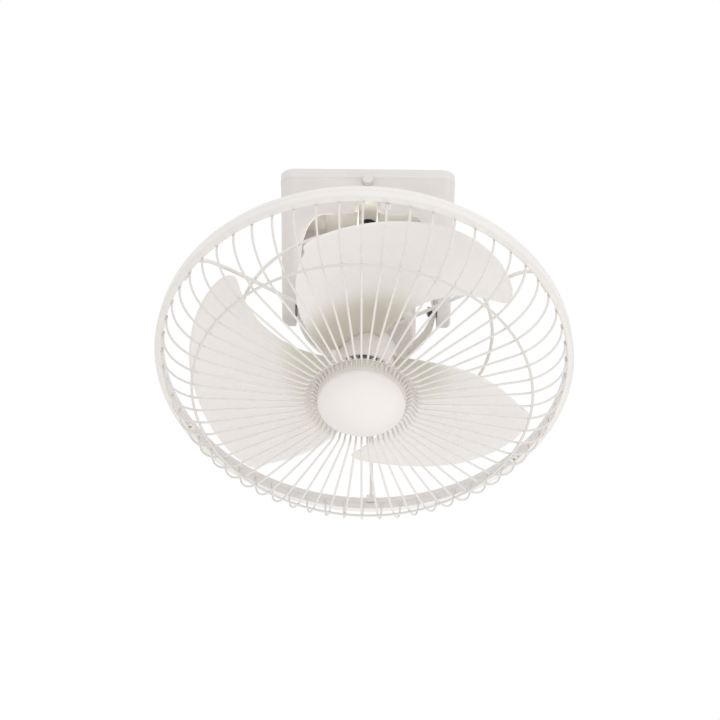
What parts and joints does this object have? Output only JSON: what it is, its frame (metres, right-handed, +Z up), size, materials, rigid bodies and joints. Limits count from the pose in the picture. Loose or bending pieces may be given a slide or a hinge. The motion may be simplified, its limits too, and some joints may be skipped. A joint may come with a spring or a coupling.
{
  "type": "orbital ceiling fan",
  "caption": "Ceiling fan with a tilted head in a round wire guard, hung in a gimbal ring between the legs of a ceiling hood so that it can sweep in an orbit.",
  "frame": {"origin": "centre of the ceiling plate's top face, the face that meets the ceiling", "axes": "+Z up out of the ceiling face, -Y towards the front, where the head is tilted at rest, +X to the right seen from the front"},
  "size_m": [0.5002, 0.4489, 0.402],
  "materials": {
    "hood_plastic": "satin",
    "white_enamel": "gloss enamel",
    "cream_enamel": "satin enamel",
    "blade_plastic": "gloss",
    "zinc_steel": "zinc plated",
    "core_steel": "laminated",
    "copper_wire": "varnished",
    "nylon": "moulded",
    "black_rubber": "matte",
    "dark_plastic": "matte",
    "dark_steel": "blackened"
  },
  "bodies": {
    "mount": {"ceiling_plate": "cream_enamel", "hanger_arm_left": "zinc_steel", "hanger_arm_right": "zinc_steel", "bracket_screws": "zinc_steel", "orbit_bracket": "cream_enamel", "orbit_bush": "black_rubber", "terminal_block": "hood_plastic", "capacitor": "dark_plastic", "hood": "hood_plastic", "hood_thumbscrews": "hood_plastic", "tilt_pivot_bolts": "zinc_steel", "tilt_pivot_spacers": "dark_plastic", "tilt_pivot_nuts": "dark_steel"},
    "gimbal": {"gimbal_ring": "cream_enamel", "gimbal_bushes": "nylon"},
    "head": {"motor_front_shell": "cream_enamel", "motor_rear_shell": "cream_enamel", "shell_screws": "zinc_steel", "stator_core": "core_steel", "stator_windings": "copper_wire", "shaft_bearings": "zinc_steel", "sway_pivot_screws": "zinc_steel", "orbit_gearmotor": "zinc_steel", "gearmotor_screws": "zinc_steel", "strut_plate": "white_enamel", "strut_right": "white_enamel", "strut_left": "white_enamel", "strut_bottom": "white_enamel", "strut_feet": "white_enamel", "rear_wire_ring": "white_enamel", "guard_ring_rear": "white_enamel", "guard_ring_front": "white_enamel", "ring_clips": "white_enamel", "guard_wires": "white_enamel", "guard_tie_bar": "white_enamel", "guard_middle_ring": "white_enamel", "guard_hub_plate": "white_enamel", "hub_cap": "blade_plastic", "hub_cap_screw": "zinc_steel"},
    "rotor": {"motor_shaft": "zinc_steel", "rotor_core": "core_steel", "blade_hub": "blade_plastic", "blade_1": "blade_plastic", "blade_2": "blade_plastic", "blade_3": "blade_plastic", "blade_nut": "blade_plastic", "drive_pin": "zinc_steel"},
    "crank": {"crank_shaft": "zinc_steel", "crank_disc": "nylon", "crank_pin": "zinc_steel"}
  },
  "joints": [
    {"name": "gimbal_tilt", "type": "hinge", "parent": "mount", "child": "gimbal", "pos_m": [0, 0, -0.156], "axis": [1, 0, 0], "range_deg": [0, 56]},
    {"name": "head_sway", "type": "hinge", "parent": "gimbal", "child": "head", "pos_m": [0, 0, -0.156], "axis": [0, 0.8829, -0.4695], "range_deg": [-29, 27]},
    {"name": "blade_spin", "type": "hinge", "parent": "head", "child": "rotor", "pos_m": [0, 0, -0.156], "axis": [-0.0175, -0.4694, -0.8828], "continuous": true},
    {"name": "crank_spin", "type": "hinge", "parent": "head", "child": "crank", "pos_m": [0, 0, -0.156], "axis": [0.0175, 0.4694, 0.8828], "continuous": true}
  ]
}
